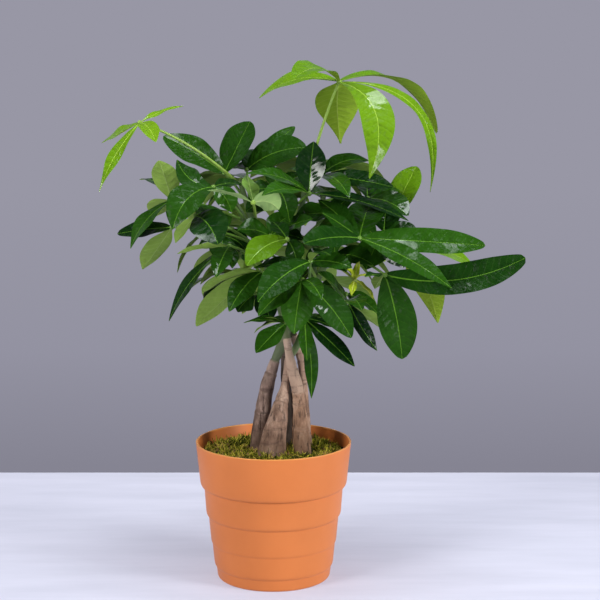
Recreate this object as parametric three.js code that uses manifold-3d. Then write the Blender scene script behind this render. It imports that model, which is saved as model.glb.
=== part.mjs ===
// A potted money tree: five young trunks in a loose braid, green shoots,
// palmate leaves, moss on a root ball, and a stepped plastic pot.
// Units are millimetres, +Z is up, and the origin is under the middle of the pot.
import * as THREE from "three";
import { mergeGeometries, mergeVertices } from "three/addons/utils/BufferGeometryUtils.js";
import Module from "manifold-3d";

const wasm = await Module();
wasm.setup();

// Driving dimensions
const gap = 0.3;
const wall = 1.8;
const floorThickness = 2.4;
const rimHeight = 126;
const rimRadius = 70.3;
const potSides = 28;
const soilTop = 106;
const mossEdge = 114.5;
const mossCrown = 119;
const trunkFoot = 84;
const stalkRadius = 1.25;
const hubRadius = 3;
const ribThickness = 1.7;
const bladeFold = 0.16;
const bladeSteps = 5;
const stationShift = 0.05;
const clearance = 0.5;
const waveHeight = 0.9;
const potFootRound = 1.2;
const stepDrop = 2.5;
const mossRadius = 65.6;
const mossRings = [0, 14, 28, 41, 53, 62];
const mossSides = 26;
const mossLump = 3.4;
const trunkSides = 8;
const shootSides = 6;
const stemSteps = 8;
const stalkSides = 4;
const stalkSteps = 3;

const up = new THREE.Vector3(0, 0, 1);
const viewer = new THREE.Vector3(0, -1, 0);
const radians = Math.PI / 180;

// Pot bands from the foot up: height of the band's lower edge, its radius there,
// and how far it stands out past the band below
const bands = [
  { foot: 0, radius: 51.3, step: 0 },
  { foot: 13, radius: 54.3, step: 1.8 },
  { foot: 34.5, radius: 57.2, step: 1.2 },
  { foot: 60, radius: 61.4, step: 2.2 },
  { foot: 87, radius: 66.5, step: 3.5 },
];

// Trunk routes, each point with its radius: x, y, z, r
const trunkRoutes = [
  [
    [-15, 4, trunkFoot, 7.2], [-14.5, 4, 116, 7.3], [-10, 4, 150, 7.2],
    [-5, 3, 178, 6.1], [1.8, 1, 200, 4.2], [9.6, 0, 218, 4.6],
  ],
  [
    [-3.5, -17, trunkFoot, 13], [-3, -17, 112, 12.9], [1.5, -17, 137, 10.6], [6.6, -15, 161, 7],
    [10.6, -9, 180, 3.4], [13.5, -1, 202, 3.1],
  ],
  [
    [26, -12, trunkFoot, 10], [25.6, -12, 116, 8.8], [24.4, -12, 138, 7.6], [23.4, -12, 158, 5.9],
    [22.2, -12, 173, 5.6], [17.6, -13, 193, 5], [13.8, -14, 211, 3.4], [12.4, -14, 223, 3.6],
  ],
  [
    [30, 14, trunkFoot, 6.2], [29.5, 14, 116, 6], [28, 12, 150, 4.6], [26.8, 11, 177, 3.7],
    [24.6, 9, 200, 3.6], [17.8, 8, 222, 3.7],
  ],
  [
    [16, 19, trunkFoot, 6], [16, 19, 116, 5.8], [15, 18.5, 146, 5], [10.8, 17.5, 178, 4],
    [10.4, 17, 200, 3.6], [13, 17, 221, 3.4],
  ],
];

// Shoot routes above the trunks, drawn the same way
const shootRoutes = [
  [[9.2, 0, 217, 4.4], [15, -3, 236, 4], [32, -8, 262, 3.6], [58, -14, 312, 2.6]],
  [[13.5, -1, 201, 3.2], [25, -2, 222, 3.3], [32, 7, 250, 3.3], [38, 22, 300, 3], [46, 28, 350, 2.3]],
  [[12.5, -14, 222, 3.6], [7, -10, 250, 3.6], [-5, -1, 288, 3.2], [-34, -10, 346, 2.4]],
  [[17.7, 8, 221, 3.6], [8, 7, 244, 3.6], [-3, 17, 270, 3.4], [-16, 25, 312, 2.9], [-30, 23, 360, 2.2]],
  [[12.9, 17, 220, 3.4], [18, 18, 250, 3.4], [20, 8, 304, 3.1], [31, -8, 368, 2.3]],
];

// Leaves seen from the front. Each has a tone, the shoot that bears it and how far along,
// the hub where its leaflets meet, and its leaflets: tip x, y, z, width, arch, tilt, bow
// and blunt, which is 1 for a round end and below 0 for a drawn-out one
const frontLeaves = [
  { tone: "mature", shoot: 1, from: 306, hub: [75, -52, 317], blades: [
    [182, -62, 312, 27, 0.005, 50, 0, 1.2],
    [151, -92, 280, 22, 0.05, 42, 0, 0],
    [27, -88, 317, 25, 0.05, 45, 0, 1.2],
    [40, -20, 347, 22, 0.04, 35, 0, 0],
    [43, -45, 338, 16, 0.03, 30, 0, 0],
    [88, 8, 341, 34, 0.08, 10, 0, 1],
  ] },
  { tone: "mature", shoot: 1, from: 300, hub: [97, -58, 286], blades: [
    [111, -80, 217, 34, 0.04, 70, -0.008, 1],
    [216, -66, 302, 29, -0.096, 62, 0, 1.5],
    [78, -96, 290, 10, 0.03, 30, 0, 0],
    [90, -20, 268, 14, 0.05, -20, 0, 0],
  ] },
  { tone: "young", shoot: 5, from: 362, hub: [58, -8, 449], blades: [
    [19, -60, 453, 30, 0.16, 25, 0, 1],
    [-12, 8, 434, 30, 0.13, 20, 0, 0],
    [61, 52, 391, 40, 0.1, 0, -0.03, -1.2],
    [83, -58, 369, 30, 0.22, 35, -0.11, 0],
    [138, -15, 353, 12, 0.295, 30, 0, -0.5],
    [147, 40, 401, 39, 0.225, 5, 0, 1.2],
  ] },
  { tone: "mature", shoot: 1, from: 262, hub: [33, -68, 299], blades: [
    [-11, -104, 270, 28, 0.08, 50, 0, 0.3],
    [-16, -66, 293, 16, 0.04, 25, 0, 0],
    [68, -78, 295, 22, 0.08, 35, 0, 0],
    [49, -110, 318, 20, 0.12, 30, 0, 0],
  ] },
  { tone: "mature", shoot: 3, from: 244, hub: [26, -72, 284], blades: [
    [-11, -96, 257, 22, 0.06, 40, 0, 0.2],
    [19, -92, 241, 28, 0.04, 70, 0, 0.3],
    [67, -100, 239, 26, 0.06, 52, 0, 0.8],
    [42, -116, 274, 16, 0.1, 40, 0, 0],
  ] },
  { tone: "mature", shoot: 4, from: 294, hub: [32, -28, 353], blades: [
    [36, 18, 397, 28, 0.05, 0, 0, 0.3],
    [-22, -44, 372, 20, 0.1, 25, 0, 0],
    [-8, -75, 356, 22, 0.08, 30, 0, 0],
    [117, -52, 332, 22, 0.06, 15, 0, 0],
    [75, 35, 343, 22, 0.06, 20, 0, 0],
  ] },
  { tone: "mature", shoot: 3, from: 326, hub: [-51, -30, 359], blades: [
    [-84, -66, 327, 31, 0.18, 40, 0, 0.5],
    [-83, -22, 382, 22, -0.17, 35, 0, 0],
    [-26, -10, 359, 18, 0.08, 25, 0, 0],
    [-35, -40, 338, 22, 0.12, 35, 0, 0],
  ] },
  { tone: "young", shoot: 4, from: 306, hub: [-16, -55, 348], blades: [
    [-22, -30, 369, 17, 0.02, -35, 0, 0.3],
    [6, -62, 342, 24, 0.18, -58, 0, 0.8],
    [-55, -60, 359, 14, 0.05, -15, 0, 0],
  ] },
  { tone: "fresh", shoot: 1, from: 275, hub: [13, -52, 316], blades: [
    [-21, -80, 297, 25, 0.12, 45, 0, 0.6],
    [21, -50, 296, 20, 0.08, 40, 0, 0],
    [0, -30, 329, 16, 0.05, 30, 0, 0],
  ] },
  { tone: "mature", shoot: 3, from: 300, hub: [-66, -40, 335], blades: [
    [-85, -22, 309, 15, 0.06, -10, 0, 0],
    [-45, -78, 315, 34, 0.12, 60, 0, 0.8],
    [-40, 0, 332, 26, 0.1, 20, 0, 0],
  ] },
  { tone: "mature", shoot: 4, from: 300, hub: [-89, -15, 322], blades: [
    [-137, -12, 316, 20, 0.02, 38, 0, 1.2],
    [-118, 18, 280, 27, 0, -10, 0, 0],
    [-81, 50, 329, 22, 0.1, 0, 0, 0],
  ] },
  { tone: "mature", shoot: 3, from: 268, hub: [-9, -38, 286], blades: [
    [-61, -50, 269, 22, 0.09, -30, 0, 0.3],
    [-67, -28, 236, 38, 0.04, -28, 0, 0.5],
    [-36, -80, 258, 22, 0.08, 45, 0, 0.3],
    [-24, -85, 301, 20, 0.1, 25, 0, 0],
  ] },
  { tone: "mature", shoot: 3, from: 282, hub: [-37, -42, 309], blades: [
    [-82, -48, 303, 21, 0.045, -22, 0, 0],
    [-47, -78, 287, 18, 0.08, 40, 0, 0.3],
    [-91, -30, 241, 17, 0.08, 25, 0, 0],
    [-34, -60, 292, 14, 0.08, -20, 0, 0],
  ] },
  { tone: "mature", shoot: 1, from: 270, hub: [65, -52, 262], blades: [
    [39, -78, 291, 21, 0.05, 35, 0, 0.3],
    [96, -22, 233, 18, 0.02, -15, 0, 0.3],
    [76, -98, 262, 20, 0.12, 40, 0, 0],
    [91, -48, 218, 17, -0.02, 35, 0, 0],
  ] },
  { tone: "mature", shoot: 3, from: 238, hub: [28, -42, 245], blades: [
    [71, -62, 207, 18, 0.02, 40, 0, 0.3],
    [30, -66, 213, 13, 0.04, 40, 0, 0.2],
    [34, -36, 173, 13, 0.02, 35, -0.02, 0],
    [42, -70, 251, 12, 0.08, 20, 0, 0],
    [52, -50, 239, 13, 0.08, 20, 0, 0],
  ] },
  { tone: "mature", shoot: 3, from: 234, hub: [12, -34, 240], blades: [
    [-14, -58, 218, 21, 0.03, 35, 0, 0.5],
    [-17, -12, 227, 11, 0.12, 15, 0, 0],
    [-26, -22, 238, 12, 0.08, 15, 0, 0],
    [-10, 14, 239, 20, 0.1, -10, 0, 0],
  ] },
  { tone: "bud", shoot: 1, from: 290, hub: [71, -56, 281], blades: [
    [64, -66, 292, 7, 0.1, 40, 0, 0],
    [75, -60, 298, 7, 0.05, 40, 0, 0],
    [68, -70, 270, 7, 0.1, 30, 0, 0],
    [88, -48, 263, 12, 0.08, 20, 0, 0],
    [80, -76, 288, 7, 0.1, 30, 0, 0],
  ] },
  { tone: "young", shoot: 4, from: 355, hub: [-115, -20, 414], blades: [
    [-151, 0, 395, 20, 0.01, 25, 0, 0],
    [-149, -40, 356, 12, 0.06, 40, 0, -1.2],
    [-98, -60, 400, 17, 0.1, 30, 0, 0.5],
    [-79, 10, 427, 8, 0.05, 20, 0, -1.2],
  ] },
  { tone: "mature", shoot: 4, from: 340, hub: [-44, 26, 366], blades: [
    [-100, 46, 398, 31, 0.034, 40, 0, 1],
    [-21, 36, 412, 41, 0.02, 12, 0.025, 1.1],
    [-65, 70, 356, 24, 0.08, 10, 0, 0],
  ] },
  { tone: "mature", shoot: 4, from: 328, hub: [-24, 30, 369], blades: [
    [30, 24, 389, 34, 0.1, 45, 0, 1],
    [19, 62, 406, 24, 0, 15, 0, 1],
    [-11, 60, 385, 26, 0.08, 10, 0, 0],
    [-41, 52, 370, 22, 0.05, 20, 0, 0],
  ] },
  { tone: "mature", shoot: 4, from: 318, hub: [-89, -5, 345], blades: [
    [-98, -30, 382, 25, 0.02, -35, 0, 0.5],
    [-121, 30, 360, 14, 0.14, 5, 0, 0],
    [-124, -10, 305, 20, 0.11, 10, 0, -0.3],
    [-76, 40, 309, 26, 0.1, 0, 0, 0],
    [-111, 22, 308, 24, 0.06, -35, 0, 0],
  ] },
  { tone: "mature", shoot: 5, from: 345, hub: [43, -4, 367], blades: [
    [86, 18, 378, 24, 0.125, 25, 0, 0],
    [106, -22, 358, 24, 0.02, 35, 0, 0.3],
    [66, -60, 353, 20, 0.1, 30, 0, 0],
    [13, -10, 370, 20, 0.1, 20, 0, 0],
  ] },
  { tone: "young", shoot: 2, from: 318, hub: [108, 10, 308], blades: [
    [150, 30, 229, 38, 0.08, -15, 0, -0.2],
    [182, 45, 281, 26, 0.055, 35, 0, 0.6],
    [102, 60, 281, 22, 0.1, 0, 0, 0],
  ] },
  { tone: "young", shoot: 2, from: 330, hub: [106, 14, 327], blades: [
    [129, 30, 372, 30, 0.06, 20, 0.04, 1],
    [95, 72, 332, 22, 0.1, 10, 0, 0],
  ] },
  { tone: "mature", shoot: 2, from: 340, hub: [84, 0, 346], blades: [
    [118, -12, 334, 28, 0.1, 40, 0, 0.5],
    [84, 40, 361, 22, 0.06, 10, 0, 0],
    [113, 35, 352, 24, 0.06, 20, 0, 0.3],
  ] },
  { tone: "mature", shoot: 4, from: 285, hub: [-2, -22, 315], blades: [
    [-31, -10, 321, 26, 0.1, 35, 0, 0],
    [17, -10, 333, 26, 0.1, 30, 0, 0],
    [-12, -40, 290, 22, 0.12, 40, 0, 0],
    [27, -30, 313, 20, 0.1, 35, 0, 0],
    [35, -56, 332, 22, 0.05, 35, 0, 0.5],
  ] },
  { tone: "mature", shoot: 5, from: 300, hub: [54, -12, 334], blades: [
    [91, -20, 313, 27, 0.1, 35, 0, 0],
    [54, -36, 303, 27, 0.12, 45, 0, 0],
    [20, -8, 340, 28, 0.04, 30, 0, 0.3],
    [69, 20, 355, 22, 0.08, 15, 0, 0],
  ] },
  { tone: "mature", shoot: 5, from: 280, hub: [52, -30, 299], blades: [
    [87, -34, 294, 26, 0.1, 35, 0, 0],
    [29, -34, 282, 24, 0.1, 35, 0, 0],
    [64, -44, 271, 24, 0.12, 45, 0, 0],
    [63, -5, 317, 20, 0.08, 20, 0, 0],
  ] },
  { tone: "mature", shoot: 2, from: 296, hub: [98, -14, 318], blades: [
    [129, -18, 315, 24, 0.08, 35, 0, 0],
    [115, -20, 287, 31, 0.04, 40, 0, 0.3],
    [101, 10, 338, 28, 0.04, 20, 0, 0.5],
    [82, -24, 286, 28, 0.04, 45, 0, 0.3],
  ] },
  { tone: "mature", shoot: 4, from: 262, hub: [-46, 14, 311], blades: [
    [-67, 14, 302, 22, 0.1, 10, 0, 0],
    [-24, -8, 296, 27, 0.12, 35, 0, 0],
    [-45, 0, 289, 24, 0.12, 30, 0, 0],
    [-54, 34, 334, 24, 0.08, 15, 0, 0],
    [-27, 10, 341, 28, 0.02, 20, 0, 0.6],
  ] },
  { tone: "mature", shoot: 5, from: 318, hub: [6, 2, 352], blades: [
    [-20, -10, 353, 22, 0.1, 30, 0, 0],
    [28, 20, 366, 24, 0.08, 20, 0, 0],
    [15, -16, 329, 22, 0.12, 40, 0, 0],
    [-8, 24, 375, 24, 0.08, 15, 0, 0],
    [-24, 0, 334, 26, 0.04, 35, 0, 0.5],
  ] },
  { tone: "mature", shoot: 2, from: 262, hub: [65, 2, 260], blades: [
    [94, 6, 241, 22, 0.1, 25, 0, 0],
    [51, -12, 233, 22, 0.12, 40, 0, 0],
    [42, -6, 269, 20, 0.1, 30, 0, 0],
    [75, 10, 228, 20, 0.12, 30, 0, 0],
  ] },
  { tone: "mature", shoot: 4, from: 250, hub: [-16, 10, 259], blades: [
    [-32, 6, 243, 26, 0.08, 35, 0, 0],
    [-3, 0, 235, 22, 0.12, 40, 0, 0],
    [-37, 2, 271, 20, 0.1, 30, 0, 0],
  ] },
];

// Leaves of the back and sides, which no view of the front shows. Bearings and angles are degrees
const backLeafCount = 9;
const backFirstBearing = 18;
const backBearingSpan = 148;
const backLowest = 262;
const backRise = 108;
const backTopRoot = 345;
const goldenShare = 0.618;
const backLength = 84;
const backWidth = 33;
const backTilt = 25;
const leafletSpread = 50;
const crownLeft = -105;

// Repeatable random numbers from 0 to 1
function makeRandom(start) {
  let seed = start;
  return () => {
    seed = (seed * 1664525 + 1013904223) % 4294967296;
    return seed / 4294967296;
  };
}

function vector(values) {
  return new THREE.Vector3(values[0], values[1], values[2]);
}

// Turns a closed geometry into a solid
function solidOf(geometry) {
  const bare = geometry.index ? geometry.clone() : mergeVertices(geometry);
  bare.deleteAttribute("normal");
  bare.deleteAttribute("uv");
  const merged = mergeVertices(bare, 1e-4);
  const points = merged.attributes.position;
  const corners = merged.index.array;
  const kept = [];
  let volume = 0;
  const a = new THREE.Vector3();
  const b = new THREE.Vector3();
  const c = new THREE.Vector3();
  for (let i = 0; i < corners.length; i += 3) {
    const [p, q, r] = [corners[i], corners[i + 1], corners[i + 2]];
    if (p === q || q === r || r === p) continue;
    kept.push(p, q, r);
    a.fromBufferAttribute(points, p);
    b.fromBufferAttribute(points, q);
    c.fromBufferAttribute(points, r);
    volume += a.dot(b.cross(c));
  }
  if (volume < 0) kept.reverse();
  return new wasm.Manifold(new wasm.Mesh({
    numProp: 3,
    vertProperties: new Float32Array(points.array),
    triVerts: new Uint32Array(kept),
  }));
}

function geometryOf(solid) {
  const mesh = solid.getMesh();
  const geometry = new THREE.BufferGeometry();
  geometry.setAttribute("position", new THREE.BufferAttribute(mesh.vertProperties, 3));
  geometry.setIndex(new THREE.BufferAttribute(mesh.triVerts, 1));
  geometry.computeVertexNormals();
  return geometry;
}

function overlaps(solid, box, others) {
  for (const other of others) {
    if (!box.intersectsBox(other.box)) continue;
    if (!solid.intersect(other.solid).isEmpty()) return true;
  }
  return false;
}

function boxOf(solid) {
  const { min, max } = solid.boundingBox();
  return new THREE.Box3(vector(min), vector(max));
}

// A closed tube along a curve, with a radius for each t
function tube(curve, radiusAt, sides, steps) {
  const geometry = new THREE.CylinderGeometry(1, 1, 1, sides, steps);
  const points = geometry.attributes.position;
  const chord = curve.getPoint(1).sub(curve.getPoint(0));
  const level = Math.abs(chord.z) > 0.5 * chord.length() ? new THREE.Vector3(0, 1, 0) : up;
  for (let i = 0; i < points.count; i += 1) {
    const t = points.getY(i) + 0.5;
    const tangent = curve.getTangent(t);
    const across = new THREE.Vector3().crossVectors(tangent, level).normalize();
    const out = new THREE.Vector3().crossVectors(across, tangent);
    const radius = radiusAt(t);
    const point = curve.getPoint(t);
    point.addScaledVector(across, radius * points.getX(i));
    point.addScaledVector(out, radius * points.getZ(i));
    points.setXYZ(i, point.x, point.y, point.z);
  }
  return geometry;
}

// A woody stem through points that each carry a radius, made fatter by extra
function stem(route, sides, steps, extra = 0) {
  const points = route.map(vector);
  const last = points.length - 1;
  points[0].z -= extra;
  points[last].addScaledVector(points[last].clone().sub(points[last - 1]).normalize(), extra);
  const curve = new THREE.CatmullRomCurve3(points, false, "catmullrom", 0.5);
  const radiusAt = (t) => {
    const place = t * (route.length - 1);
    const i = Math.min(Math.floor(place), route.length - 2);
    return THREE.MathUtils.lerp(route[i][3], route[i + 1][3], place - i) + extra;
  };
  return tube(curve, radiusAt, sides, steps);
}

// The point of a shoot's middle line at a height
function shootPoint(route, height) {
  const curve = new THREE.CatmullRomCurve3(route.map(vector), false, "catmullrom", 0.5);
  let low = 0;
  let high = 1;
  for (let i = 0; i < 30; i += 1) {
    const t = (low + high) / 2;
    if (curve.getPoint(t).z < height) low = t;
    else high = t;
  }
  return curve.getPoint((low + high) / 2);
}

// Pot wall, moved inwards by inset, from the foot to the rim; the outside has rounded steps
function potLine(inset) {
  const line = [];
  bands.forEach((band, i) => {
    const next = bands[i + 1] ?? { foot: rimHeight + stepDrop, radius: rimRadius, step: 0 };
    const base = band.radius - inset;
    line.push([base, band.foot + (i ? potFootRound : 1.5)]);
    line.push([next.radius - next.step - inset, next.foot - stepDrop]);
    if (bands[i + 1] && !inset) line.push([next.radius - 0.3 * next.step - inset, next.foot - 0.9]);
  });
  return line;
}

function lathe(line, sides) {
  const flat = line.map(([radius, height]) => new THREE.Vector2(radius, height));
  return new THREE.LatheGeometry(flat, sides).rotateX(Math.PI / 2);
}

function makePot() {
  const outside = potLine(0);
  const inside = potLine(wall).filter(([, height]) => height > floorThickness);
  const line = [
    [0, 0],
    [bands[0].radius - potFootRound, 0],
    ...outside,
    ...inside.reverse(),
    [bands[0].radius - wall - 1, floorThickness],
    [0, floorThickness],
  ];
  return solidOf(lathe(line, potSides));
}

function makeSoil(trunkHoles) {
  const inset = wall + gap;
  const foot = floorThickness + gap;
  const side = potLine(inset).filter(([, height]) => height > foot && height < soilTop - 2);
  const topBand = bands[bands.length - 1];
  const rise = (soilTop - topBand.foot) / (rimHeight - topBand.foot);
  const topRadius = THREE.MathUtils.lerp(topBand.radius, rimRadius, rise) - inset - 0.2;
  const line = [
    [0, foot],
    [bands[0].radius - inset - 1, foot],
    ...side,
    [topRadius, soilTop],
    [0, soilTop],
  ];
  let soil = solidOf(lathe(line, potSides));
  for (const hole of trunkHoles) soil = soil.subtract(hole);
  return soil;
}

// A mounded mat with a lumpy top: rings of a lathe, lifted and dropped at random
function makeMoss(trunkHoles) {
  const foot = soilTop + gap;
  const line = [[0, foot], [mossRadius, foot], [mossRadius, mossEdge - 1]];
  for (const ring of [...mossRings].reverse()) {
    line.push([ring, mossEdge + (mossCrown - mossEdge) * (1 - (ring / mossRadius) ** 2)]);
  }
  const random = makeRandom(11);
  const merged = mergeVertices(bareLathe(line, mossSides), 1e-3);
  const points = merged.attributes.position;
  for (let i = 0; i < points.count; i += 1) {
    const radius = Math.hypot(points.getX(i), points.getY(i));
    if (points.getZ(i) < mossEdge - 0.5 || radius > mossRadius - 1) continue;
    points.setZ(i, points.getZ(i) + (random() - 0.5) * mossLump);
  }
  let moss = solidOf(merged);
  for (const hole of trunkHoles) moss = moss.subtract(hole);
  return moss;
}

function bareLathe(line, sides) {
  const geometry = lathe(line, sides);
  geometry.deleteAttribute("normal");
  geometry.deleteAttribute("uv");
  return geometry;
}

// The rib of a leaflet: a curve that leaves the hub, arches and ends at the tip.
// skyward is where the upper face looks, tilted from the sky towards facing
function makeRib(hub, tip, blade, facing) {
  const [arch, tilt, bow] = [blade[4], blade[5], blade[6]];
  const chord = tip.clone().sub(hub);
  const length = chord.length();
  const along = chord.clone().normalize();
  const lift = up.clone().addScaledVector(along, -along.z).normalize();
  const skyward = up.clone().multiplyScalar(Math.cos(tilt * radians));
  skyward.addScaledVector(facing, Math.sin(tilt * radians));
  const across = new THREE.Vector3().crossVectors(along, skyward).normalize();
  const middle = hub.clone().add(tip).multiplyScalar(0.5);
  middle.addScaledVector(lift, 2 * arch * length).addScaledVector(across, 2 * bow * length);
  return { curve: new THREE.QuadraticBezierCurve3(hub, middle, tip), skyward };
}

// Share of the full width at t: a slim foot, a full upper half and a pointed or round end
function widthShare(t, blunt) {
  const swell = Math.max(Math.sin(Math.PI * t ** (1.12 + 0.14 * blunt)), 0);
  return 0.04 + 0.96 * swell ** (0.9 - 0.35 * blunt) * (1 - 0.3 * t ** 5);
}

// A leaflet: two alike faces that meet along the edge, thickest over the rib
function makeBlade(rib, blade, extra = 0) {
  const [width, blunt] = [blade[3], blade[7]];
  const faces = [1, -1].map((side) => {
    const face = new THREE.PlaneGeometry(1, 1, 2, bladeSteps);
    const points = face.attributes.position;
    for (let i = 0; i < points.count; i += 1) {
      const place = 2 * points.getX(i);
      const step = 0.5 - points.getY(i);
      const t = step - stationShift * Math.sin(2 * Math.PI * step);
      const tangent = rib.curve.getTangent(t);
      const across = new THREE.Vector3().crossVectors(tangent, rib.skyward).normalize();
      const normal = new THREE.Vector3().crossVectors(across, tangent);
      const half = (width / 2) * widthShare(t, blunt) + extra;
      const swell = place === 0 ? Math.max(Math.sin(Math.PI * t), 0) ** 0.4 : 0;
      const thickness = step === 0 || step === 1 ? 0 : (ribThickness + 2 * extra) * swell;
      const wave = place === 0 ? 0 : waveHeight * Math.sin(11 * t + 1.5 * place) * Math.sin(Math.PI * t);
      const fold = bladeFold * (half - extra) * Math.abs(place);
      const point = rib.curve.getPoint(t);
      point.addScaledVector(across, half * place);
      point.addScaledVector(normal, fold + wave + (side * thickness) / 2);
      points.setXYZ(i, point.x, point.y, point.z);
    }
    if (side < 0) {
      const index = face.index.array;
      for (let i = 0; i < index.length; i += 3) [index[i], index[i + 1]] = [index[i + 1], index[i]];
    }
    return face;
  });
  return mergeGeometries(faces);
}

// Small bends tried in turn, as [towards facing, upwards]; the first clear one is kept
const tipMoves = [];
for (const rise of [0, 8, -8, 16, -16, 26, -26]) {
  for (const depth of [0, 9, -9, 18, -18, 28, -28]) tipMoves.push([depth, rise]);
}

// Ways round for a stalk, as its middle's shift in x, y and z and its root's shift along the shoot
const stalkMoves = [];
for (const reach of [0, 9, 18, 30, 42]) {
  for (const slide of [0, -8, 8, -16]) {
    for (let k = 0; k < (reach ? 6 : 1); k += 1) {
      const angle = k * 60 * radians;
      const rise = k % 2 ? reach / 2 : -reach / 4;
      stalkMoves.push([reach * Math.cos(angle), reach * Math.sin(angle), rise, slide]);
    }
  }
}

function makeStalk(leaf, move, extra) {
  const root = shootPoint(shootRoutes[leaf.shoot - 1], leaf.from + move[3]);
  const hub = vector(leaf.hub);
  const middle = root.clone().add(hub).multiplyScalar(0.5).add(vector(move));
  middle.z += 0.12 * root.distanceTo(hub);
  const curve = new THREE.QuadraticBezierCurve3(root, middle, hub);
  const stalk = solidOf(tube(curve, (t) => stalkRadius * (1.15 - 0.3 * t) + extra, stalkSides, stalkSteps));
  const knob = new THREE.OctahedronGeometry(hubRadius + extra, 0).translate(hub.x, hub.y, hub.z);
  return stalk.add(solidOf(knob));
}

// Leaves round the back, by rule: bearings step by the golden angle, leaflets fan out and droop
function makeBackLeaves() {
  const random = makeRandom(120);
  const leaves = [];
  for (let i = 0; i < backLeafCount; i += 1) {
    const turnShare = (0.36 + i * goldenShare) % 1;
    const bearing = (backFirstBearing + backBearingSpan * turnShare) * radians;
    const height = backLowest + (backRise * i) / (backLeafCount - 1);
    const reach = 30 + 30 * random();
    const facing = new THREE.Vector3(Math.cos(bearing), Math.sin(bearing), 0);
    const hub = [8 + reach * 1.25 * facing.x, 14 + reach * facing.y, height];
    const blades = [];
    for (let j = -2; j <= 2; j += 1) {
      const turn = bearing + (j * leafletSpread + 14 * (random() - 0.5)) * radians;
      const fall = (-8 - 9 * Math.abs(j) - 14 * random()) * radians;
      const length = backLength - 11 * Math.abs(j) + 14 * random();
      const tip = [
        hub[0] + length * Math.cos(turn) * Math.cos(fall),
        hub[1] + length * Math.sin(turn) * Math.cos(fall),
        hub[2] + length * Math.sin(fall),
      ];
      const blade = [...tip, backWidth - 2 * Math.abs(j), 0.1 + 0.08 * random(), backTilt, 0, 0];
      if (tip[0] > crownLeft) blades.push(blade);
    }
    const shoot = [2, 4, 5][i % 3];
    leaves.push({ tone: "mature", shoot, from: Math.min(height - 12, backTopRoot), hub, blades, facing });
  }
  return leaves;
}

const colours = { pot: 0xd7824b, soil: 0x3b2a1c, moss: 0x6f7430, bark: 0x8d7464, shoot: 0x6c8a3c };
const leafColours = { mature: 0x25611d, fresh: 0x5c9a20, young: 0x86b52e, bud: 0xb9c53a };

function finish(colour, roughness) {
  return new THREE.MeshStandardMaterial({ color: colour, roughness, metalness: 0 });
}

const group = new THREE.Group();
function place(name, solid, material) {
  const mesh = new THREE.Mesh(geometryOf(solid), material);
  mesh.name = name;
  group.add(mesh);
}

const trunkHoles = trunkRoutes.map((route) => solidOf(stem(route, trunkSides, stemSteps, gap)));
const pot = makePot();
const soil = makeSoil(trunkHoles);
const moss = makeMoss(trunkHoles);
place("pot", pot, finish(colours.pot, 0.45));
place("soil", soil, finish(colours.soil, 0.95));
place("moss", moss, finish(colours.moss, 0.95));

const fixed = [pot, moss].map((solid) => ({ solid, box: boxOf(solid) }));
trunkRoutes.forEach((route, i) => {
  const solid = solidOf(stem(route, trunkSides, stemSteps));
  place(`trunk_${i + 1}`, solid, finish(colours.bark, 0.85));
  fixed.push({ solid, box: boxOf(solid) });
});
const shoots = shootRoutes.map((route, i) => {
  const solid = solidOf(stem(route, shootSides, stemSteps)).subtract(trunkHoles[i]);
  place(`shoot_${i + 1}`, solid, finish(colours.shoot, 0.6));
  return { solid, box: boxOf(solid) };
});

// Every stalk first, then the leaflets, each bent clear of what is there already
const leaves = [...frontLeaves, ...makeBackLeaves()];
const stalks = [];
for (const leaf of leaves) {
  const others = [...fixed, ...shoots.filter((_, i) => i !== leaf.shoot - 1), ...stalks];
  const clear = stalkMoves.find((move) => {
    const fat = makeStalk(leaf, move, clearance);
    return !overlaps(fat, boxOf(fat), others);
  });
  const solid = makeStalk(leaf, clear ?? stalkMoves[0], 0);
  stalks.push({ solid, box: boxOf(solid), leaf });
}

// The leaflet at the first bend that leaves it clear of the others, or null
function clearBlade(leaf, blade, others) {
  const facing = leaf.facing ?? viewer;
  const hub = vector(leaf.hub);
  for (const [depth, rise] of tipMoves) {
    const tip = vector(blade).addScaledVector(facing, depth).addScaledVector(up, rise);
    const rib = makeRib(hub, tip, blade, facing);
    const fat = solidOf(makeBlade(rib, blade, clearance));
    if (overlaps(fat, boxOf(fat), others)) continue;
    const solid = solidOf(makeBlade(rib, blade));
    if (!overlaps(solid, boxOf(solid), others)) return solid;
  }
  return null;
}

const placed = [];
for (const leaf of leaves) {
  const others = [...fixed, ...shoots, ...stalks, ...placed].filter((other) => other.leaf !== leaf);
  leaf.parts = leaf.blades.map((blade) => clearBlade(leaf, blade, others)).filter((solid) => solid);
  for (const solid of leaf.parts) placed.push({ solid, box: boxOf(solid), leaf });
}

leaves.forEach((leaf, i) => {
  const shootHole = solidOf(stem(shootRoutes[leaf.shoot - 1], shootSides, stemSteps, gap));
  const whole = leaf.parts.reduce((sum, part) => sum.add(part), stalks[i].solid).subtract(shootHole);
  const pieces = whole.decompose().sort((a, b) => b.volume() - a.volume());
  place(`leaf_${String(i + 1).padStart(2, "0")}`, pieces[0], finish(leafColours[leaf.tone], 0.45));
});

export default group;
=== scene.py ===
# The potted money tree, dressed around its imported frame. Lengths in the tables are millimetres.
import bpy
import bmesh
import math
import random
from mathutils import Euler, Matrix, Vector, noise
from mathutils.kdtree import KDTree


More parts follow.
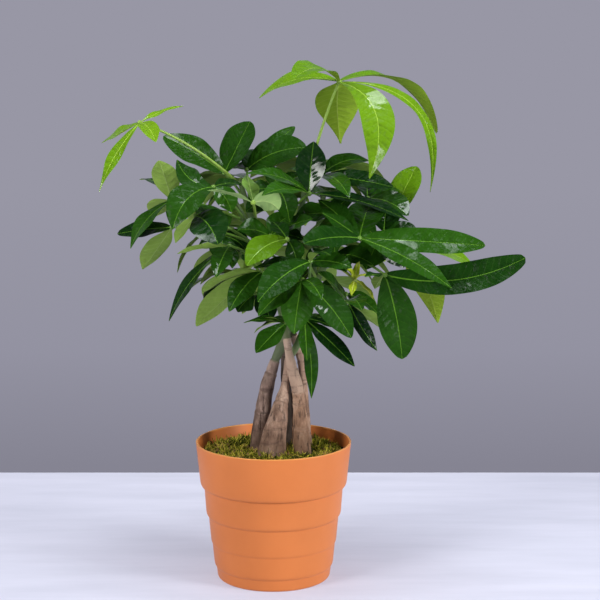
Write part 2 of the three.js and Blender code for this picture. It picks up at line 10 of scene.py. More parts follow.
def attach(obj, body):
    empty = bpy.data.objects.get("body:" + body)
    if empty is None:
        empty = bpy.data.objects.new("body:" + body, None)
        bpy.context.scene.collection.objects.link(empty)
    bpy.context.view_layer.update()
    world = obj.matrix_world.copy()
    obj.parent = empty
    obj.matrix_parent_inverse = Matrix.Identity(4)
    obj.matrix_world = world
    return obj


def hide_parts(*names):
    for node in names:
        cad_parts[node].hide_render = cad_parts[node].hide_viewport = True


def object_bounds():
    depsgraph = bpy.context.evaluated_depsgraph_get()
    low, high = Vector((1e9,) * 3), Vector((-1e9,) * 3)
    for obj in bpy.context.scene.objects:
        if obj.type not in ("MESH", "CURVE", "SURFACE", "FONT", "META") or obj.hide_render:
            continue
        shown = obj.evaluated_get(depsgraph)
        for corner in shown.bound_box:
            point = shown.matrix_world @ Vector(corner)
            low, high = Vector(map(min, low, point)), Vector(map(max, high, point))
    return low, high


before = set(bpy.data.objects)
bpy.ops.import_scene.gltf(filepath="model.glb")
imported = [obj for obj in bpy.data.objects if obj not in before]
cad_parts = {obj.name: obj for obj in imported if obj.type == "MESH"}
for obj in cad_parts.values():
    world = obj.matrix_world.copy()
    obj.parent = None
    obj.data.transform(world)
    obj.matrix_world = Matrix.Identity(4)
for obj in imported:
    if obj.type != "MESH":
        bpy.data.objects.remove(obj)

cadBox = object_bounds()
mm = 0.001
skyUp = Vector((0, 0, 1))
towardsViewer = Vector((0, -1, 0))


# Camera, light and floor

view = {
    "place": (24.0, -1499.5, 497.8),
    "pitchDown": 9.2,
    "lens": 101.9,
    "sensor": 36,
    "sight": 20000,
    "tableEdge": 358,
    "backdrop": [(0.08, (0.235, 0.231, 0.287)), (0.3, (0.292, 0.288, 0.357)),
                 (0.6, (0.314, 0.309, 0.376))],
    "backdropAt": 3200,
    "backdropSpan": (-2500, 4300),
    "backdropShadeSpan": (-863, 653),
    "floorFront": -4000,
    "halfWidth": 6000,
    "ambient": (0.12, 0.12, 0.135),
}


def placeCamera():
    data = bpy.data.cameras.new("camera")
    data.lens = view["lens"]
    data.sensor_width = view["sensor"]
    data.clip_end = view["sight"] * mm
    camera = bpy.data.objects.new("camera", data)
    camera.location = Vector(view["place"]) * mm
    camera.rotation_euler = (math.radians(90 - view["pitchDown"]), 0, 0)
    bpy.context.scene.collection.objects.link(camera)
    bpy.context.scene.camera = camera


def softLight(name, place, target, size, watts, colour):
    data = bpy.data.lights.new(name, "AREA")
    data.shape = "RECTANGLE"
    data.size, data.size_y = size
    data.energy = watts
    data.color = colour
    lamp = bpy.data.objects.new(name, data)
    lamp.location = place
    lamp.rotation_euler = (Vector(target) - Vector(place)).to_track_quat("-Z", "Y").to_euler()
    bpy.context.scene.collection.objects.link(lamp)


placeCamera()
# The lights' places and sizes are in metres
softLight("keyLight", (-1.25, -1.2, 1.15), (0, 0, 0.22), (0.6, 0.8), 27, (1, 0.99, 0.98))
softLight("rightLight", (1.5, -0.85, 0.75), (0, 0, 0.2), (0.5, 0.8), 30, (0.98, 0.99, 1))
softLight("topLight", (0.1, -0.2, 1.75), (0, 0, 0.3), (0.7, 0.5), 16, (0.93, 0.97, 1))
world = bpy.data.worlds.new("studio")
world.use_nodes = True
background = world.node_tree.nodes["Background"]
background.inputs["Color"].default_value = (*view["ambient"], 1)
background.inputs["Strength"].default_value = 1.0
bpy.context.scene.world = world
bpy.context.scene.view_settings.view_transform = "Standard"
print("camera and lights in place")


# Shader maths: a wire is a node's output that adds, takes away and multiplies

class Wire:
    def __init__(self, finish, socket):
        self.finish = finish
        self.socket = socket

    def maths(self, operation, first, second):
        return self.finish.node("ShaderNodeMath", {"operation": operation}, {0: first, 1: second})

    def __add__(self, other):
        return self.maths("ADD", self, other)

    def __radd__(self, other):
        return self.maths("ADD", other, self)

    def __sub__(self, other):
        return self.maths("SUBTRACT", self, other)

    def __rsub__(self, other):
        return self.maths("SUBTRACT", other, self)

    def __mul__(self, other):
        return self.maths("MULTIPLY", self, other)

    def __truediv__(self, other):
        return self.maths("DIVIDE", self, other)

    def __pow__(self, other):
        return self.maths("POWER", self, other)

    def __abs__(self):
        return self.maths("ABSOLUTE", self, 0)


class Finish:
    def __init__(self, name, fixed):
        self.material = bpy.data.materials.new(name)
        self.material.use_nodes = True
        self.tree = self.material.node_tree
        self.shader = self.tree.nodes["Principled BSDF"]
        for key, value in fixed.items():
            self.shader.inputs[key].default_value = value

    def node(self, kind, settings, inputs, output=0):
        made = self.tree.nodes.new(kind)
        for key, value in settings.items():
            if key == "stops":
                self.setStops(made.color_ramp, value)
            else:
                setattr(made, key, value)
        for key, value in inputs.items():
            if isinstance(value, Wire):
                self.tree.links.new(value.socket, made.inputs[key])
            else:
                made.inputs[key].default_value = value
        return Wire(self, made.outputs[output])

    def setStops(self, ramp, stops):
        while len(ramp.elements) > 1:
            ramp.elements.remove(ramp.elements[-1])
        ramp.elements[0].position = stops[0][0]
        ramp.elements[0].color = (*stops[0][1], 1)
        for place, colour in stops[1:]:
            ramp.elements.new(place).color = (*colour, 1)

    def attribute(self, name):
        return self.node("ShaderNodeAttribute", {"attribute_name": name}, {}, "Fac")

    def objectPlace(self):
        return self.node("ShaderNodeTexCoord", {}, {}, "Object")

    def noiseAt(self, place, scale, detail, roughness=0.55):
        inputs = {"Vector": place, "Scale": scale, "Detail": detail, "Roughness": roughness}
        return self.node("ShaderNodeTexNoise", {}, inputs)

    def ramp(self, factor, stops):
        return self.node("ShaderNodeValToRGB", {"stops": stops}, {"Fac": factor})

    def limits(self, value, low, high):
        inputs = {"Value": value, "From Min": low, "From Max": high}
        return self.node("ShaderNodeMapRange", {"clamp": True}, inputs)

    def blendColour(self, factor, first, second):
        inputs = {"Factor": factor, 6: asColour(first), 7: asColour(second)}
        return self.node("ShaderNodeMix", {"data_type": "RGBA"}, inputs, 2)

    def feed(self, key, value):
        self.tree.links.new(value.socket, self.shader.inputs[key])

    def bump(self, height, distance, strength=1.0):
        inputs = {"Height": height, "Distance": distance, "Strength": strength}
        self.feed("Normal", self.node("ShaderNodeBump", {}, inputs))


def asColour(value):
    return value if isinstance(value, Wire) else (*value, 1)


# Mesh helpers

def makePiece(name, mesh, materials, slot, nodes=()):
    data = bpy.data.meshes.new(name)
    bmesh.ops.recalc_face_normals(mesh, faces=mesh.faces)
    # Nothing reaches past the box of the solids
    for vert in mesh.verts:
        vert.co = [min(max(value, low), high) for value, low, high in zip(vert.co, *cadBox)]
    mesh.to_mesh(data)
    mesh.free()
    for finish in materials:
        data.materials.append(finish.material)
    piece = bpy.data.objects.new(name, data)
    bpy.context.scene.collection.objects.link(piece)
    for face in data.polygons:
        face.use_smooth = True
    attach(piece, "root")
    if nodes:
        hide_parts(*nodes)
    return piece


def layersOf(mesh):
    names = ("side", "along", "share", "tint")
    return {name: mesh.verts.layers.float.get(name) or mesh.verts.layers.float.new(name) for name in names}


# Curves, the same as the frame's

def throughPoints(route, t):
    last = len(route) - 1
    place = t * last
    i = min(int(place), last - 1)
    w = place - i
    points = [Vector(point[:3]) for point in route]
    here, there = points[i], points[i + 1]
    before = points[i - 1] if i > 0 else 2 * points[0] - points[1]
    after = points[i + 2] if i + 2 <= last else 2 * points[last] - points[last - 1]
    leave = (there - before) * 0.5
    arrive = (after - here) * 0.5
    cubic = (2 * here - 2 * there + leave + arrive) * w ** 3
    square = (-3 * here + 3 * there - 2 * leave - arrive) * w ** 2
    return cubic + square + leave * w + here


def radiusOn(route, t):
    place = t * (len(route) - 1)
    i = min(int(place), len(route) - 2)
    return route[i][3] + (route[i + 1][3] - route[i][3]) * (place - i)


def heightOn(route, height):
    low, high = 0.0, 1.0
    for _ in range(30):
        t = (low + high) / 2
        if throughPoints(route, t).z < height:
            low = t
        else:
            high = t
    return throughPoints(route, (low + high) / 2)


def bend(start, middle, end, t):
    return (1 - t) ** 2 * start + 2 * t * (1 - t) * middle + t * t * end


def bendTangent(start, middle, end, t):
    return (2 * (1 - t) * (middle - start) + 2 * t * (end - middle)).normalized()


def bell(away, width=1):
    return math.exp(-(away / width) ** 2)


def addTube(mesh, pointAt, radiusAt, sides, steps, tint, material):
    layers = layersOf(mesh)
    chord = pointAt(1) - pointAt(0)
    level = Vector((0, 1, 0)) if abs(chord.z) > 0.5 * chord.length else skyUp
    made = bmesh.ops.create_grid(mesh, x_segments=sides, y_segments=steps, size=0.5)
    verts = made["verts"]
    faces = {face for vert in verts for face in vert.link_faces}
    for face in faces:
        face.material_index = material
    for vert in verts:
        turn = (vert.co.x + 0.5) * 2 * math.pi
        t = min(max(vert.co.y + 0.5, 0), 1)
        tangent = (pointAt(min(t + 0.01, 1)) - pointAt(max(t - 0.01, 0))).normalized()
        across = tangent.cross(level).normalized()
        out = across.cross(tangent)
        radius = radiusAt(t, turn)
        vert[layers["side"]] = turn
        vert[layers["along"]] = t * chord.length
        vert[layers["share"]] = t
        vert[layers["tint"]] = tint
        vert.co = (pointAt(t) + across * radius * math.sin(turn) + out * radius * math.cos(turn)) * mm
    bmesh.ops.remove_doubles(mesh, verts=verts, dist=1e-6)
    rims = [edge for edge in mesh.edges if edge.is_boundary]
    bmesh.ops.holes_fill(mesh, edges=rims, sides=0)
    return mesh


# The floor is a pale table; a plain backdrop stands far behind it, glowing, painted darker towards the
# bottom as shade

def makeSheet(name, finish, corners):
    mesh = bmesh.new()
    bmesh.ops.create_grid(mesh, x_segments=1, y_segments=1, size=1)
    low, high = corners
    for vert in mesh.verts:
        share = (vert.co.y + 1) / 2
        depth = low[0] + (high[0] - low[0]) * share
        height = low[1] + (high[1] - low[1]) * share
        vert.co = (vert.co.x * view["halfWidth"] * mm, depth * mm, height * mm)
    data = bpy.data.meshes.new(name)
    mesh.to_mesh(data)
    mesh.free()
    data.materials.append(finish.material)
    sheet = bpy.data.objects.new(name, data)
    bpy.context.scene.collection.objects.link(sheet)


def makeFloor():
    cloth = Finish("tableCloth", {"Roughness": 0.8, "Specular IOR Level": 0.2, "Emission Strength": 1})
    place = cloth.objectPlace()
    # Painted shade: the cloth's colour and glow are lighter and darker in long soft streaks, the shading
    # of creases
    creases = {"Vector": place, "Rotation": (0, 0, 0.5), "Scale": (3, 16, 1)}
    crease = cloth.node("ShaderNodeMapping", {}, creases)
    creaseShade = cloth.noiseAt(crease, 1.6, 4)
    lit = [(0.3, (0.32, 0.33, 0.38)), (0.7, (0.38, 0.385, 0.44))]
    glow = [(0.3, (0.31, 0.31, 0.39)), (0.7, (0.345, 0.345, 0.43))]
    cloth.feed("Base Color", cloth.ramp(creaseShade, lit))
    cloth.feed("Emission Color", cloth.ramp(creaseShade, glow))
    makeSheet("floor", cloth, ((view["floorFront"], 0), (view["tableEdge"], 0)))


def makeBackdrop():
    fixed = {"Base Color": (0, 0, 0, 1), "Specular IOR Level": 0, "Emission Strength": 1}
    paper = Finish("backdropPaper", fixed)
    height = paper.node("ShaderNodeSeparateXYZ", {}, {"Vector": paper.objectPlace()}, 2)
    # Painted shade: the glowing backdrop is darker towards the bottom
    share = paper.limits(height, *[edge * mm for edge in view["backdropShadeSpan"]])
    paper.feed("Emission Color", paper.ramp(share, view["backdrop"]))
    low, high = view["backdropSpan"]
    makeSheet("backdrop", paper, ((view["backdropAt"], low), (view["backdropAt"], high)))


makeFloor()
makeBackdrop()


# Pot: a thin moulded shell with soft steps

pot = {
    "wall": 1.8,
    "floor": 2.4,
    "rim": (70.3, 126),
    "turns": 144,
    "bands": [(0, 51.3, 0), (13, 54.3, 1.8), (34.5, 57.2, 1.2), (60, 61.4, 2.2), (87, 66.5, 3.5)],
    "softness": [1.2, 2.0, 2.0, 2.4, 4.0],
    "footRound": 1.2,
    "footCorner": 1.5,
    "bandStart": 1.2,
    "stepDrop": 2.5,
    "stepLean": 0.3,
    "stepRise": 0.9,
}


def roundedLine(corners, steps=5):
    line = [corners[0][0]]
    for (before, _), (corner, cut), (after, _) in zip(corners, corners[1:], corners[2:]):
        if cut == 0:
            line.append(corner)
            continue
        start = corner + (before - corner).normalized() * min(cut, (before - corner).length * 0.45)
        end = corner + (after - corner).normalized() * min(cut, (after - corner).length * 0.45)
        line += [bend(start, corner, end, k / steps) for k in range(steps + 1)]
    line.append(corners[-1][0])
    return line


def potCorners():
    flat = lambda radius, height: Vector((radius, 0, height))
    bands = pot["bands"]
    drop = pot["stepDrop"]
    rimRadius, rimHeight = pot["rim"]
    corners = [(flat(0, 0), 0), (flat(bands[0][1] - pot["footRound"], 0), 0.8)]
    inner = []
    for i, (foot, radius, _) in enumerate(bands):
        last = i == len(bands) - 1
        nextFoot, nextRadius, nextStep = (rimHeight + drop, rimRadius, 0) if last else bands[i + 1]
        start = pot["bandStart"] if i else pot["footCorner"]
        corners.append((flat(radius, foot + start), pot["softness"][i]))
        corners.append((flat(nextRadius - nextStep, nextFoot - drop), 0.5))
        inner.append((flat(radius - pot["wall"], max(foot + pot["bandStart"], pot["floor"] + 1)), 2))
        inner.append((flat(nextRadius - nextStep - pot["wall"], nextFoot - drop), 0.6))
        if not last:
            ledge = flat(nextRadius - pot["stepLean"] * nextStep, nextFoot - pot["stepRise"])
            corners.append((ledge, 0.7))
    inner.reverse()
    innerFoot = flat(bands[0][1] - pot["wall"] - 1, pot["floor"])
    return corners + inner + [(innerFoot, 0.5), (flat(0, pot["floor"]), 0)]


def potFinish():
    finish = Finish("potPlastic", {"Specular IOR Level": 0.35})
    place = finish.objectPlace()
    cloud = finish.noiseAt(place, 14.0, 4, 0.6)
    grain = finish.noiseAt(place, 900.0, 2, 0.5)
    bands = finish.node("ShaderNodeMapping", {}, {"Vector": place, "Scale": (2, 2, 260)})
    streak = finish.noiseAt(bands, 1.0, 2, 0.5)
    base = finish.ramp(cloud, [(0.3, (0.60, 0.170, 0.037)), (0.7, (0.67, 0.198, 0.047))])
    height = finish.node("ShaderNodeSeparateXYZ", {}, {"Vector": place}, 2)
    # Painted highlight: a lighter orange band along the top edge of the rim
    lipHighlight = finish.limits(height, 0.1248, 0.1258)
    finish.feed("Base Color", finish.blendColour(lipHighlight * 0.55, base, (0.82, 0.40, 0.10)))
    finish.feed("Roughness", 0.36 + grain * 0.1 + streak * 0.06)
    finish.bump(grain * 0.6 + streak * 0.4, 0.00006, 0.5)
    return finish


def makePot():
    mesh = bmesh.new()
    points = roundedLine(potCorners())
    verts = [mesh.verts.new(point * mm) for point in points]
    edges = [mesh.edges.new(pair) for pair in zip(verts, verts[1:])]
    bmesh.ops.spin(mesh, geom=verts + edges, axis=(0, 0, 1), cent=(0, 0, 0), dvec=(0, 0, 0),
                   angle=2 * math.pi, steps=pot["turns"], use_merge=True, use_duplicate=False)
    bmesh.ops.remove_doubles(mesh, verts=mesh.verts, dist=1e-6)
    piece = makePiece("steppedPot", mesh, [potFinish()], "pot", ["pot"])
    piece.data.set_sharp_from_angle(angle=math.radians(50))


makePot()
print("pot made")


# Trunks and shoots

trunkFoot = 84
trunkRoutes = [
    [(-15, 4, trunkFoot, 7.2), (-14.5, 4, 116, 7.3), (-10, 4, 150, 7.2), (-5, 3, 178, 6.1),
     (1.8, 1, 200, 4.2), (9.6, 0, 218, 4.6)],
    [(-3.5, -17, trunkFoot, 13), (-3, -17, 112, 12.9), (1.5, -17, 137, 10.6), (6.6, -15, 161, 7),
     (10.6, -9, 180, 3.4), (13.5, -1, 202, 3.1)],
    [(26, -12, trunkFoot, 10), (25.6, -12, 116, 8.8), (24.4, -12, 138, 7.6), (23.4, -12, 158, 5.9),
     (22.2, -12, 173, 5.6), (17.6, -13, 193, 5), (13.8, -14, 211, 3.4), (12.4, -14, 223, 3.6)],
    [(30, 14, trunkFoot, 6.2), (29.5, 14, 116, 6), (28, 12, 150, 4.6), (26.8, 11, 177, 3.7),
     (24.6, 9, 200, 3.6), (17.8, 8, 222, 3.7)],
    [(16, 19, trunkFoot, 6), (16, 19, 116, 5.8), (15, 18.5, 146, 5), (10.8, 17.5, 178, 4),
     (10.4, 17, 200, 3.6), (13, 17, 221, 3.4)],
]
shootRoutes = [
    [(9.2, 0, 217, 4.4), (15, -3, 236, 4), (32, -8, 262, 3.6), (58, -14, 312, 2.6)],
    [(13.5, -1, 201, 3.2), (25, -2, 222, 3.3), (32, 7, 250, 3.3), (38, 22, 300, 3), (46, 28, 350, 2.3)],
    [(12.5, -14, 222, 3.6), (7, -10, 250, 3.6), (-5, -1, 288, 3.2), (-34, -10, 346, 2.4)],
    [(17.7, 8, 221, 3.6), (8, 7, 244, 3.6), (-3, 17, 270, 3.4), (-16, 25, 312, 2.9), (-30, 23, 360, 2.2)],
    [(12.9, 17, 220, 3.4), (18, 18, 250, 3.4), (20, 8, 304, 3.1), (31, -8, 368, 2.3)],
]
trunk = {
    "sides": 32,
    "steps": 150,
    # The fifth trunk's tint of 0.0 also selects its painted shade in the bark finish
    "tints": [0.15, 0.55, 0.9, 0.7, 0.0],
    "scars": [(0.40, 0.67, 0.785), (0.62, 0.8), (0.3, 0.46, 0.571, 0.72),
              (0.62, 0.69, 0.77, 0.84), (0.5, 0.8)],
    "scarHeight": 0.28,
    "scarWidth": 0.009,
    "scarTilt": 0.008,
    "scarWave": 0.004,
    "grooveDepth": 0.35,
    "grooveAway": 2.2,
    "lump": 0.75,
    "fineLump": 0.2,
    "cloven": 1,
    "cleftBearing": math.pi + 0.45,
    "cleftDepth": 3.4,
    "cleftWidth": 0.2,
    "cleftTop": 0.42,
    "cleftFade": 0.16,
    "lobeHeight": 1.8,
    "lobeAway": 0.85,
    "lobeWidth": 0.45,
}
shootShape = {
    "sides": 18,
    "steps": 60,
    "joints": (0.22, 0.43, 0.63, 0.82),
    "jointWidth": 0.02,
    "jointHeight": 0.3,
    "wobble": 0.12,
}


def scarsAt(index, t, turn):
    shift = t + trunk["scarTilt"] * math.cos(turn + index)
    shift += trunk["scarWave"] * math.cos(2 * turn + 3 * index)
    return [(shift - scar) / trunk["scarWidth"] for scar in trunk["scars"][index]]


def trunkRadius(index, route):
    def radiusAt(t, turn):
        radius = radiusOn(route, t)
        x, y, down = math.cos(turn), math.sin(turn), index * 7
        coarse = noise.noise(Vector((x * 0.9, y * 0.9, t * 9 + down)))
        radius += trunk["lump"] * coarse * min(radius / 6, 1.2)
        radius += trunk["fineLump"] * noise.noise(Vector((x * 4, y * 4, t * 14 + down)))
        for away in scarsAt(index, t, turn):
            groove = trunk["grooveDepth"] * bell(away - trunk["grooveAway"])
            radius += trunk["scarHeight"] * bell(away) - groove
        if index == trunk["cloven"]:
            low = min(max((trunk["cleftTop"] - t) / trunk["cleftFade"], 0), 1)
            away = turn - trunk["cleftBearing"]
            radius -= trunk["cleftDepth"] * low * bell(away, trunk["cleftWidth"])
            radius += trunk["lobeHeight"] * low * bell(away - trunk["lobeAway"], trunk["lobeWidth"])
        return radius
    return radiusAt


def shootRadius(route):
    def radiusAt(t, turn):
        joints = sum(bell(t - mark, shootShape["jointWidth"]) for mark in shootShape["joints"])
        wobble = shootShape["wobble"] * math.sin(3 * turn + 9 * t)
        return radiusOn(route, t) + shootShape["jointHeight"] * joints + wobble
    return radiusAt


def barkFinish():
    finish = Finish("bark", {"Specular IOR Level": 0.2})
    place = finish.objectPlace()
    tint = finish.attribute("tint")
    along = finish.attribute("along")
    share = finish.attribute("share")
    scar = finish.attribute("side")
    stretched = finish.node("ShaderNodeMapping", {}, {"Vector": place, "Scale": (1, 1, 0.16)})
    squat = finish.node("ShaderNodeMapping", {}, {"Vector": place, "Scale": (0.25, 0.25, 1)})
    long = finish.node("ShaderNodeMapping", {}, {"Vector": place, "Scale": (1, 1, 0.4)})
    patch = finish.noiseAt(long, 95.0, 5, 0.7)
    streak = finish.noiseAt(stretched, 380.0, 5, 0.65)
    rings = finish.noiseAt(squat, 210.0, 3, 0.6)
    cool = finish.ramp(patch, [(0.32, (0.07, 0.047, 0.038)), (0.5, (0.20, 0.135, 0.11)),
                               (0.66, (0.40, 0.29, 0.24))])
    warm = finish.ramp(patch, [(0.32, (0.15, 0.075, 0.042)), (0.5, (0.33, 0.19, 0.115)),
                               (0.66, (0.54, 0.36, 0.25))])
    base = finish.blendColour(tint, cool, warm)
    tan = finish.limits(share, 0.562, 0.58) * finish.limits(tint, 0.78, 0.82)
    base = finish.blendColour(tan * 0.6, base, (0.46, 0.32, 0.23))
    # Painted light: all trunks but the fifth are painted lighter higher up their length, where the crown's
    # shade darkens them
    base = finish.blendColour(finish.limits(along, 70.0, 150.0) * finish.limits(tint, 0.06, 0.12) * 0.4,
                              base, (0.64, 0.48, 0.40))
    crack = finish.limits(streak, 0.44, 0.36) * finish.limits(share, 0.85, 0.5)
    base = finish.blendColour(crack * 0.8, base, (0.045, 0.026, 0.018))
    ringMask = finish.limits(rings, 0.58, 0.68)
    base = finish.blendColour(ringMask * 0.5, base, (0.085, 0.05, 0.04))
    base = finish.blendColour(finish.limits(scar, 0.35, 0.9) * finish.limits(patch, 0.4, 0.62) * 0.6,
                              base, (0.06, 0.034, 0.026))
    greenTrunk = finish.limits(tint, 0.22, 0.18) * finish.limits(tint, 0.08, 0.12)
    green = finish.limits(share, 0.785, 0.81) * greenTrunk
    base = finish.blendColour(green * 0.85, base, (0.065, 0.11, 0.05))
    foot = finish.limits(along, 50.0, 34.0)
    base = finish.blendColour(foot * 0.45, base, (0.07, 0.035, 0.018))
    # Painted shade: the fifth trunk, of tint 0.0, is painted almost black, as it stands in shade behind
    # the others
    base = finish.blendColour(finish.limits(tint, 0.06, 0.02) * 0.8, base, (0.03, 0.022, 0.016))
    finish.feed("Base Color", base)
    finish.feed("Roughness", 0.58 + patch * 0.25)
    finish.bump(streak * 0.8 + patch * 0.6 - ringMask * 0.4 - crack * 0.6, 0.0008, 0.9)
    return finish


def shootFinish():
    finish = Finish("shootSkin", {"Specular IOR Level": 0.45})
    place = finish.objectPlace()
    along = finish.attribute("along")
    patch = finish.noiseAt(place, 90.0, 4, 0.6)
    green = finish.ramp(patch, [(0.3, (0.055, 0.105, 0.03)), (0.7, (0.12, 0.19, 0.055))])
    woody = finish.limits(along, 26.0, 4.0)
    finish.feed("Base Color", finish.blendColour(woody * 0.55, green, (0.17, 0.15, 0.085)))
    finish.feed("Roughness", 0.42 + patch * 0.2)
    finish.bump(patch, 0.0004, 0.6)
    return finish


def makeTrunks():
    bark = barkFinish()
    for index, route in enumerate(trunkRoutes):
        mesh = bmesh.new()
        addTube(mesh, lambda t: throughPoints(route, t), trunkRadius(index, route),
                trunk["sides"], trunk["steps"], trunk["tints"][index], 0)
        layers = layersOf(mesh)
        # On a trunk the side attribute becomes how near a scar is
        for vert in mesh.verts:
            marks = scarsAt(index, vert[layers["share"]], vert[layers["side"]])
            vert[layers["side"]] = sum(bell(away - 1.2) for away in marks)
        makePiece(f"barkTrunk_{index + 1}", mesh, [bark], "bark", [f"trunk_{index + 1}"])


def makeShoots():
    skin = shootFinish()
    for index, route in enumerate(shootRoutes):
        mesh = bmesh.new()
        addTube(mesh, lambda t: throughPoints(route, t), shootRadius(route),
                shootShape["sides"], shootShape["steps"], 0.5, 0)
        makePiece(f"greenShoot_{index + 1}", mesh, [skin], "shoot", [f"shoot_{index + 1}"])


makeTrunks()
makeShoots()
print("trunks and shoots made")


# Soil keeps its own solid; moss is a lumpy mat with thousands of small sprigs

moss = {
    "foot": 106.3,
    "edge": 65.6,
    "edgeHeight": 114.5,
    "crown": 119,
    "turns": 120,
    "rings": 46,
    "tint": 0.4,
    "lump": 2.2,
    "lumpScale": 0.085,
    "tuft": 1.8,
    "tuftScale": 2.7,
    "sink": 0.6,
}
sprig = {
    "batches": 30,
    "perBatch": 240,
    "seed": 3,
    "rimGap": 1.2,
    "trunkGap": 0.6,
    "upright": (0.25, 1.3),
    "overhang": 6,
    "clump": 8,
    "bareBelow": (-0.5, 0.1),
    "length": (1.6, 5.6),
    "width": (0.28, 0.75),
    "taper": 0.35,
    "stretch": 1.4,
    "sunk": 0.5,
    "raised": 1.5,
}


def soilFinish():
    finish = Finish("pottingSoil", {"Roughness": 0.95})
    place = finish.objectPlace()
    crumb = finish.noiseAt(place, 260.0, 5, 0.7)
    shades = [(0.35, (0.018, 0.011, 0.007)), (0.65, (0.085, 0.055, 0.032))]
    finish.feed("Base Color", finish.ramp(crumb, shades))
    finish.bump(crumb, 0.001, 0.8)
    return finish


def mossHeight(x, y):
    radius = math.hypot(x, y)
    mound = moss["edgeHeight"] + (moss["crown"] - moss["edgeHeight"]) * (1 - (radius / moss["edge"]) ** 2)
    place = Vector((x * moss["lumpScale"], y * moss["lumpScale"], 4))
    height = mound + moss["lump"] * noise.noise(place)
    height += moss["tuft"] * noise.noise(place * moss["tuftScale"])
    return height - moss["sink"]


def clearOfTrunks(x, y, margin):
    for route in trunkRoutes:
        footX, footY, _, radius = route[1]
        if math.hypot(x - footX, y - footY) < radius + margin:
            return False
    return True


def mossFinish(name, darker):
    finish = Finish(name, {"Specular IOR Level": 0.15})
    place = finish.objectPlace()
    tint = finish.attribute("tint")
    clump = finish.noiseAt(place, 62.0, 5, 0.72)
    fine = finish.noiseAt(place, 600.0, 3, 0.6)
    mixed = clump * 0.7 + tint * 0.3
    shades = [(0.24, (0.006, 0.010, 0.002)), (0.37, (0.035, 0.045, 0.004)), (0.48, (0.14, 0.15, 0.008)),
              (0.56, (0.50, 0.45, 0.04)), (0.60, (0.66, 0.55, 0.09)), (0.63, (0.22, 0.11, 0.04)),
              (0.74, (0.50, 0.28, 0.15))]
    if darker:
        shades = [(0.3, (0.006, 0.008, 0.002)), (0.55, (0.03, 0.035, 0.006)), (0.8, (0.08, 0.05, 0.02))]
    finish.feed("Base Color", finish.ramp(mixed, shades))
    finish.feed("Roughness", 0.8 + fine * 0.15)
    finish.bump(fine, 0.0006, 0.8)
    return finish


def addSprig(mesh, layers, root, lean, length, width, tint):
    made = bmesh.ops.create_cone(mesh, cap_ends=True, segments=3, radius1=width,
                                 radius2=width * sprig["taper"], depth=length)
    turn = skyUp.rotation_difference(lean).to_matrix().to_4x4()
    turn.translation = root + lean * length * 0.5
    bmesh.ops.transform(mesh, matrix=turn, verts=made["verts"])
    for vert in made["verts"]:
        vert[layers["tint"]] = tint


def makeMat():
    mesh = bmesh.new()
    layers = layersOf(mesh)
    made = bmesh.ops.create_grid(mesh, x_segments=moss["turns"], y_segments=moss["rings"], size=0.5)
    for vert in made["verts"]:
        turn = (vert.co.x + 0.5) * 2 * math.pi
        lowest = vert.co.y > 0.499
        radius = moss["edge"] * min((vert.co.y + 0.5) * moss["rings"] / (moss["rings"] - 1), 1)
        x, y = radius * math.cos(turn), radius * math.sin(turn)
        vert.co = Vector((x, y, moss["foot"] if lowest else mossHeight(x, y))) * mm
        vert[layers["tint"]] = moss["tint"]
    bmesh.ops.remove_doubles(mesh, verts=mesh.verts, dist=1e-6)
    bmesh.ops.holes_fill(mesh, edges=[edge for edge in mesh.edges if edge.is_boundary], sides=0)
    makePiece("mossMat", mesh, [mossFinish("mossMatFinish", True)], "moss", ["moss"])


def sprigBatch(draw, count):
    mesh = bmesh.new()
    layers = layersOf(mesh)
    while count:
        radius = moss["edge"] * math.sqrt(draw.random())
        outward = Vector((1, 0, 0))
        outward.rotate(Euler((0, 0, draw.random() * 2 * math.pi)))
        x, y = radius * outward.x, radius * outward.y
        if radius > moss["edge"] - sprig["rimGap"] or not clearOfTrunks(x, y, sprig["trunkGap"]):
            continue
        level = (draw.uniform(-1, 1), draw.uniform(-1, 1))
        lean = Vector((*level, draw.uniform(*sprig["upright"]))).normalized()
        if radius > moss["edge"] - sprig["overhang"] and lean.dot(outward) > 0:
            lean -= 2 * lean.dot(outward) * outward
        swell = noise.noise(Vector((x / sprig["clump"], y / sprig["clump"], 3)))
        if swell < draw.uniform(*sprig["bareBelow"]):
            continue
        length = draw.uniform(*sprig["length"]) * (1.0 + sprig["stretch"] * swell) * mm
        height = mossHeight(x, y) - sprig["sunk"] + sprig["raised"] * swell
        root = Vector((x, y, height)) * mm
        addSprig(mesh, layers, root, lean, length, draw.uniform(*sprig["width"]) * mm, draw.random())
        count -= 1
    return mesh


def makeSprigs():
    draw = random.Random(sprig["seed"])
    whole = bmesh.new()
    layersOf(whole)
    for _ in range(sprig["batches"]):
        batch = sprigBatch(draw, sprig["perBatch"])
        data = bpy.data.meshes.new("batch")
        batch.to_mesh(data)
        batch.free()
        whole.from_mesh(data)
        bpy.data.meshes.remove(data)
    makePiece("mossSprigs", whole, [mossFinish("mossSprigFinish", False)], "moss")


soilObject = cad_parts["soil"]
soilObject.data.materials.clear()
soilObject.data.materials.append(soilFinish().material)
makeMat()
makeSprigs()
print("moss made")


# Leaves: tone, shoot, height on the shoot, hub, then for each leaflet
# its tip x, y, z, width, arch, tilt in degrees, bow and bluntness

